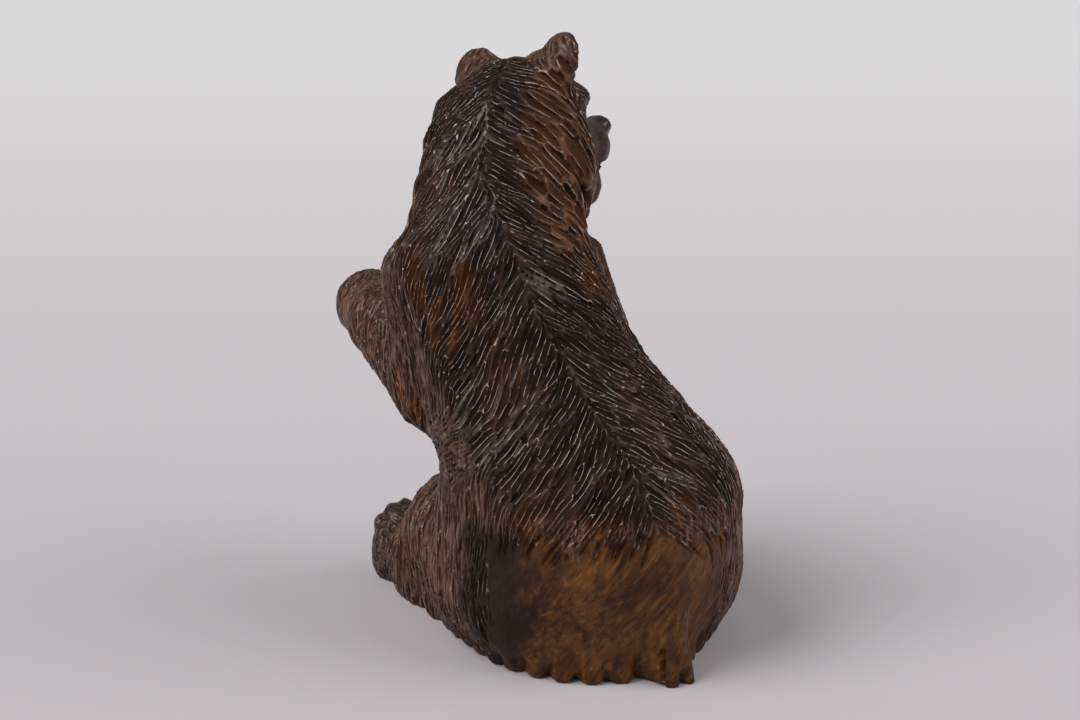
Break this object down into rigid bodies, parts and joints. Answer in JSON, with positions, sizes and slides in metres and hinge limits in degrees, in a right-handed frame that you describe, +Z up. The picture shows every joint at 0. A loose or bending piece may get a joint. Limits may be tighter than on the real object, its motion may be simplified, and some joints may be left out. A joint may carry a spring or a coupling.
{
  "type": "carved wooden bear",
  "caption": "Seated bear carved from one block of wood, head turned over its right shoulder, one fore paw raised, long gouge-cut fur.",
  "frame": {"origin": "on the ground, under the middle of the bear's box", "axes": "+Z up, -Y the way the bear's chest faces, +X the bear's left"},
  "size_m": [0.113, 0.1348, 0.1887],
  "materials": {
    "stained_wood": "dark stained and varnished, satin"
  },
  "bodies": {
    "root": {"bear": "stained_wood"}
  },
  "joints": []
}
